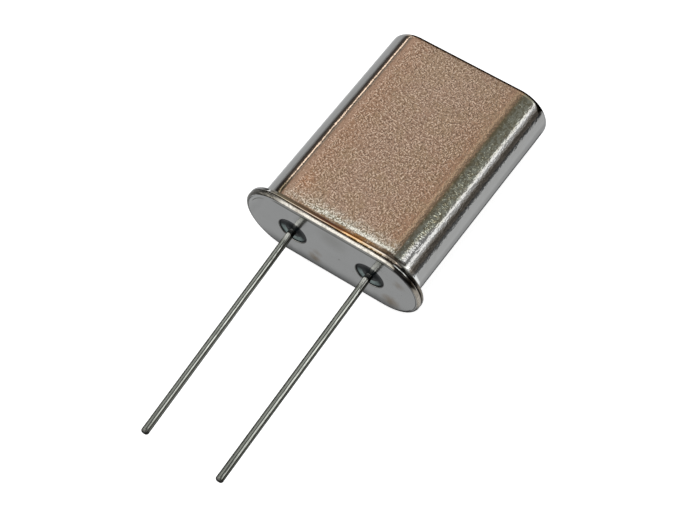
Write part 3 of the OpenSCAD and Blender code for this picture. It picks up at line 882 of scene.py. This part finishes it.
def adhesive_material():
    t = Nodes("silver_adhesive_finish")
    p = t.unit_frame()
    flakes = t.noise(p, 16.0, 3.0, 0.7)
    return t.principled({
        "Base Color": t.mix(t.step(flakes, 0.4, 0.65), srgb(176, 176, 174), srgb(206, 206, 205)),
        "Metallic": 0.6,
        "Roughness": t.spread(flakes, 0.38, 0.55),
        "Normal": t.bump(flakes, 0.02),
    })


can.data.materials.append(can_material())
base.data.materials.append(base_material())
glass = glass_material()
for seal in seals:
    seal.data.materials.append(glass)
wire_finish = lead_material()
for wire in leads:
    wire.data.materials.append(wire_finish)

# the sealed inner pieces keep their CAD shapes and get finishes of their own
INNER = (
    (strip_material(), ("mounting_clip_left", "mounting_clip_right")),
    (quartz_material(), ("quartz_blank",)),
    (silver_material(), ("front_electrode", "back_electrode")),
    (adhesive_material(), ("adhesive_left", "adhesive_right")),
)
for finish, nodes in INNER:
    for node in nodes:
        for slot in frame["nodes"][node].material_slots:
            slot.material = finish


# ---------------------------------------------------------------- studio
scene = bpy.context.scene
scene.view_settings.view_transform = "Standard"

camera_data = bpy.data.cameras.new("camera")
# lens, place and turn as fitted to the outline in the photo
camera_data.lens = 99.622
camera_data.sensor_width = 36
camera_data.clip_start = 0.002
camera_data.clip_end = 50
camera = bpy.data.objects.new("camera", camera_data)
scene.collection.objects.link(camera)
camera.location = (0.034068, -0.034083, 0.086980)
camera.rotation_euler = [math.radians(a) for a in (29.20329, 5.04423, 35.39331)]
scene.camera = camera

FLOOR_HALF = 1.5
floor_mesh = bpy.data.meshes.new("studio_floor")
corners = [(a * FLOOR_HALF, b * FLOOR_HALF, 0) for a, b in ((-1, -1), (1, -1), (1, 1), (-1, 1))]
floor_mesh.from_pydata(corners, [], [(0, 1, 2, 3)])
floor = bpy.data.objects.new("studio_floor", floor_mesh)
scene.collection.objects.link(floor)


def floor_material():
    """White paper. Metal and glass see a painted pool of light on it near the unit, dimmer on all
    sides of that.

    Places are in metres in the row frame, where the closed end is towards +y.
    """
    t = Nodes("studio_floor_paper")
    path = t.add("LightPath")
    x, y, _ = t.split(t.add("NewGeometry").outputs["Position"])
    diffuse = t.add("BsdfDiffuse", {"Color": (0.8, 0.8, 0.8, 1)})
    glow = t.emission(STUDIO_WHITE, t.times(path.outputs["Is Camera Ray"], 0.75))
    lit = t.add("AddShader", {0: diffuse.outputs[0], 1: glow})
    behind = t.larger(t.step(y, 0.030, 0.018), t.step(x, -0.006, -0.009))
    pool = t.times(t.step(x, 0.0195, 0.0175, 0.14, 1.0), behind)
    pool = t.times(pool, t.step(y, -0.0125, -0.0095, 0.45, 1.0))
    pool = t.times(pool, t.step(t.magnitude(x), 0.0056, 0.0074, 0.62, 1.0))
    pool = t.times(pool, t.step(x, -0.0058, -0.0062, 1.0, 0.82))
    # the unit's own contact shadow
    under = t.times(t.step(t.magnitude(x), 0.0056, 0.0050), t.band(y, 0.0, 0.0132, 0.0005))
    pool = t.times(pool, t.minus(1.0, t.times(under, 0.85)))
    mirrored = t.emission((0.97, 0.985, 1.0, 1), t.plus(t.times(pool, 0.80), 0.07))
    both = t.add("MixShader", {"Fac": t.seen_in(path), 1: lit.outputs[0], 2: mirrored})
    return t.output(both.outputs[0])


floor_mesh.materials.append(floor_material())


def soft_box(name, polar, distance, half_angle, length, radiance, middle=0.0):
    """A box light along Y, polar degrees from overhead towards +X, its middle at Y = middle."""
    width = 2 * distance * math.tan(math.radians(half_angle))
    light = bpy.data.lights.new(name, "AREA")
    light.shape = "RECTANGLE"
    light.size, light.size_y = width, length
    light.energy = math.pi * width * length * radiance
    lamp = bpy.data.objects.new(name, light)
    scene.collection.objects.link(lamp)
    a = math.radians(polar)
    lamp.location = (distance * math.sin(a), middle, distance * math.cos(a))
    lamp.rotation_euler = (0, a, 0)


soft_box("overhead_box", -23.5, 0.45, 21.5, 1.2, 0.43)
soft_box("key_box", -25, 0.40, 10, 0.42, 0.80, middle=0.09)
soft_box("right_box", 55.6, 0.40, 5.5, 1.0, 1.5)
soft_box("left_box", -62.5, 0.40, 2.2, 1.0, 2.6)
soft_box("front_box", 31, 0.10, 10, 0.026, 1.9, middle=0.037)

world = bpy.data.worlds.new("studio")
scene.world = world
world.use_nodes = True

# Brightness of the studio's walls as metal sees them, by degrees from overhead towards +X
WALLS = (
    (-90, 0.48), (-84, 0.40), (-80, 0.11), (-72, 0.11), (-66, 0.24), (-57, 0.24), (-53, 0.72),
    (-46, 0.92), (-39, 0.48), (-35, 0.0), (-3, 0.0), (-1, 0.31), (25, 0.34), (48, 0.42),
    (61, 0.72), (67, 0.72), (73, 0.30), (79, 0.09), (82, 0.09), (87, 0.17), (90, 0.20),
)
WARM_FROM, WARMTH = 70, 0.14


def studio_world():
    t = Nodes(None, world.node_tree)
    dx, dy, dz = t.split(t.add("TexCoord").outputs["Generated"])
    polar = t.over(t.math("ARCTAN2", dx, dz), math.pi)
    stops = []
    for degrees, level in WALLS:
        warm = WARMTH if degrees > WARM_FROM else 0.0
        stops.append((degrees / 180 + 0.5, (level * (1 + warm), level, level * (1 - warm), 1)))
    walls = t.colour_ramp(t.plus(polar, 0.5), stops)
    # a large window in front, and a lit room behind
    window = t.times(t.step(dy, 0.04, -0.10), t.step(dx, 0.45, 0.15))
    window = t.times(window, t.minus(1.0, t.band(dy, -0.39, -0.33, 0.02)))
    walls = t.mix(window, walls, (2.0, 2.0, 2.0, 1))
    walls = t.mix(t.step(dy, 0.62, 0.74), walls, (0.75, 0.75, 0.75, 1))
    path = t.add("LightPath")
    level = t.mix(t.seen_in(path), (0.35, 0.35, 0.35, 1), walls)
    level = t.mix(path.outputs["Is Camera Ray"], level, STUDIO_WHITE)
    back = t.add("Background", {"Color": level, "Strength": 1.0})
    t.add("OutputWorld", {"Surface": back.outputs[0]})


studio_world()
